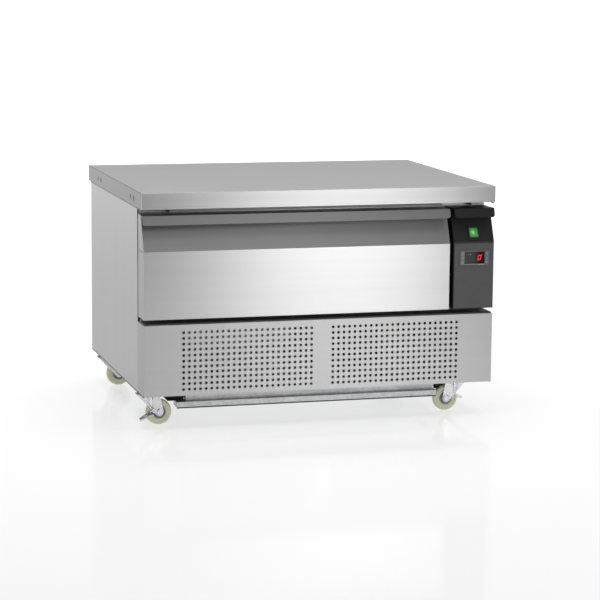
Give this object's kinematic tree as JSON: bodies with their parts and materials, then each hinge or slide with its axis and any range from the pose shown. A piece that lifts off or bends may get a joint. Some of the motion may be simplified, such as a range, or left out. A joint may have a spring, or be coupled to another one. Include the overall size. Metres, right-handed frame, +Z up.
{
  "type": "refrigerated counter",
  "caption": "Low stainless steel refrigerated counter with one wide drawer over a perforated grille, a control panel at the right and swivel castors.",
  "frame": {"origin": "centre of the footprint on the floor", "axes": "+Z up, front towards -Y, +X to the right seen from the front"},
  "size_m": [0.9, 0.71, 0.58],
  "materials": {
    "stainless": "brushed",
    "board": "matte",
    "foam": "matte",
    "galvanised": "satin",
    "compressor_black": "satin",
    "rubber_black": "matte",
    "fins": "satin",
    "copper": "satin",
    "pale_plastic": "matte",
    "grey_plastic": "matte",
    "black_plastic": "satin",
    "fascia_grey": "matte",
    "fan_black": "matte",
    "window_dark": "gloss",
    "key_silver": "satin",
    "rocker_green": "gloss",
    "zinc": "satin",
    "tyre_cream": "satin"
  },
  "bodies": {
    "cabinet": {"worktop": "stainless", "worktop_core": "board", "side_panel_left": "stainless", "side_panel_right": "stainless", "back_panel": "galvanised", "insulation_foam": "foam", "inner_liner": "stainless", "front_frame": "stainless", "mullion_trim": "black_plastic", "grille_panel": "stainless", "panel_screws": "zinc", "base_frame": "galvanised", "unit_tray": "galvanised", "compressor": "compressor_black", "compressor_feet": "rubber_black", "condenser_coil": "fins", "condenser_shroud": "galvanised", "condenser_fan_motor": "galvanised", "refrigerant_pipes": "copper", "evaporation_tray": "pale_plastic", "drain_tube": "pale_plastic", "electrical_box": "grey_plastic", "cable_gland": "black_plastic", "evaporator_coil": "fins", "evaporator_cover": "stainless", "evaporator_fan_motor": "galvanised", "control_cover": "black_plastic", "control_fascia": "fascia_grey", "switch_frame": "black_plastic", "thermostat": "black_plastic", "thermostat_window": "window_dark", "runner_outer": "zinc", "castor_plates": "zinc"},
    "drawer": {"drawer_front_skin": "stainless", "drawer_front_foam": "foam", "drawer_front_liner": "stainless", "drawer_seal": "rubber_black", "drawer_frame": "stainless", "drawer_divider": "stainless", "runner_inner": "zinc"},
    "runner_slide": {"runner_middle": "zinc"},
    "switch": {"switch_rocker": "rocker_green"},
    "condenser_fan": {"condenser_fan_blade": "fins"},
    "evaporator_fan": {"evaporator_fan_blade": "fan_black"},
    "pedal_left": {"brake_pedal_left": "zinc"},
    "pedal_right": {"brake_pedal_right": "zinc"},
    "key_left_top": {"key_left_top": "key_silver"},
    "key_left_middle": {"key_left_middle": "key_silver"},
    "key_left_bottom": {"key_left_bottom": "key_silver"},
    "key_right_top": {"key_right_top": "key_silver"},
    "key_right_middle": {"key_right_middle": "key_silver"},
    "key_right_bottom": {"key_right_bottom": "key_silver"},
    "fork_front_left": {"castor_fork_front_left": "zinc"},
    "wheel_front_left": {"castor_wheel_front_left": "tyre_cream"},
    "fork_front_right": {"castor_fork_front_right": "zinc"},
    "wheel_front_right": {"castor_wheel_front_right": "tyre_cream"},
    "fork_rear_left": {"castor_fork_rear_left": "zinc"},
    "wheel_rear_left": {"castor_wheel_rear_left": "tyre_cream"},
    "fork_rear_right": {"castor_fork_rear_right": "zinc"},
    "wheel_rear_right": {"castor_wheel_rear_right": "tyre_cream"}
  },
  "joints": [
    {"name": "drawer_slide", "type": "slide", "parent": "cabinet", "child": "drawer", "axis": [0, -1, 0], "range_m": [0, 0.53]},
    {"name": "runner_travel", "type": "slide", "parent": "cabinet", "child": "runner_slide", "axis": [0, -1, 0], "range_m": [0, 0.265]},
    {"name": "switch_tilt", "type": "hinge", "parent": "cabinet", "child": "switch", "pos_m": [0.3945, -0.33981, 0.46275], "axis": [1, 0, 0], "range_deg": [0, 16]},
    {"name": "condenser_fan_spin", "type": "hinge", "parent": "cabinet", "child": "condenser_fan", "pos_m": [-0.19, -0.178, 0.1246], "axis": [0, 1, 0], "continuous": true},
    {"name": "evaporator_fan_spin", "type": "hinge", "parent": "cabinet", "child": "evaporator_fan", "pos_m": [0.307, -0.06, 0.434], "axis": [1, 0, 0], "continuous": true},
    {"name": "key_left_top_press", "type": "slide", "parent": "cabinet", "child": "key_left_top", "axis": [0, 1, 0], "range_m": [0, 0.0004], "stiffness_N_per_m": 800},
    {"name": "key_left_middle_press", "type": "slide", "parent": "cabinet", "child": "key_left_middle", "axis": [0, 1, 0], "range_m": [0, 0.0004], "stiffness_N_per_m": 800},
    {"name": "key_left_bottom_press", "type": "slide", "parent": "cabinet", "child": "key_left_bottom", "axis": [0, 1, 0], "range_m": [0, 0.0004], "stiffness_N_per_m": 800},
    {"name": "key_right_top_press", "type": "slide", "parent": "cabinet", "child": "key_right_top", "axis": [0, 1, 0], "range_m": [0, 0.0004], "stiffness_N_per_m": 800},
    {"name": "key_right_middle_press", "type": "slide", "parent": "cabinet", "child": "key_right_middle", "axis": [0, 1, 0], "range_m": [0, 0.0004], "stiffness_N_per_m": 800},
    {"name": "key_right_bottom_press", "type": "slide", "parent": "cabinet", "child": "key_right_bottom", "axis": [0, 1, 0], "range_m": [0, 0.0004], "stiffness_N_per_m": 800},
    {"name": "swivel_front_left", "type": "hinge", "parent": "cabinet", "child": "fork_front_left", "pos_m": [-0.42, -0.267, 0.0787], "axis": [0, 0, 1], "continuous": true},
    {"name": "spin_front_left", "type": "hinge", "parent": "fork_front_left", "child": "wheel_front_left", "pos_m": [-0.393, -0.267, 0.032], "axis": [0, 1, 0], "continuous": true},
    {"name": "swivel_front_right", "type": "hinge", "parent": "cabinet", "child": "fork_front_right", "pos_m": [0.379, -0.267, 0.0787], "axis": [0, 0, 1], "continuous": true},
    {"name": "spin_front_right", "type": "hinge", "parent": "fork_front_right", "child": "wheel_front_right", "pos_m": [0.352, -0.267, 0.032], "axis": [0, 1, 0], "continuous": true},
    {"name": "swivel_rear_left", "type": "hinge", "parent": "cabinet", "child": "fork_rear_left", "pos_m": [-0.42, 0.246, 0.0787], "axis": [0, 0, 1], "continuous": true},
    {"name": "spin_rear_left", "type": "hinge", "parent": "fork_rear_left", "child": "wheel_rear_left", "pos_m": [-0.393, 0.246, 0.032], "axis": [0, 1, 0], "continuous": true},
    {"name": "swivel_rear_right", "type": "hinge", "parent": "cabinet", "child": "fork_rear_right", "pos_m": [0.379, 0.246, 0.0787], "axis": [0, 0, 1], "continuous": true},
    {"name": "spin_rear_right", "type": "hinge", "parent": "fork_rear_right", "child": "wheel_rear_right", "pos_m": [0.352, 0.246, 0.032], "axis": [0, 1, 0], "continuous": true},
    {"name": "brake_left", "type": "hinge", "parent": "fork_front_left", "child": "pedal_left", "pos_m": [-0.406, -0.283, 0.038], "axis": [0, 1, 0], "range_deg": [0, 12]},
    {"name": "brake_right", "type": "hinge", "parent": "fork_front_right", "child": "pedal_right", "pos_m": [0.365, -0.251, 0.038], "axis": [0, -1, 0], "range_deg": [-12, 0]}
  ],
  "couplings": [
    {"joint": "runner_travel", "follows": "drawer_slide", "ratio": 0.5}
  ]
}
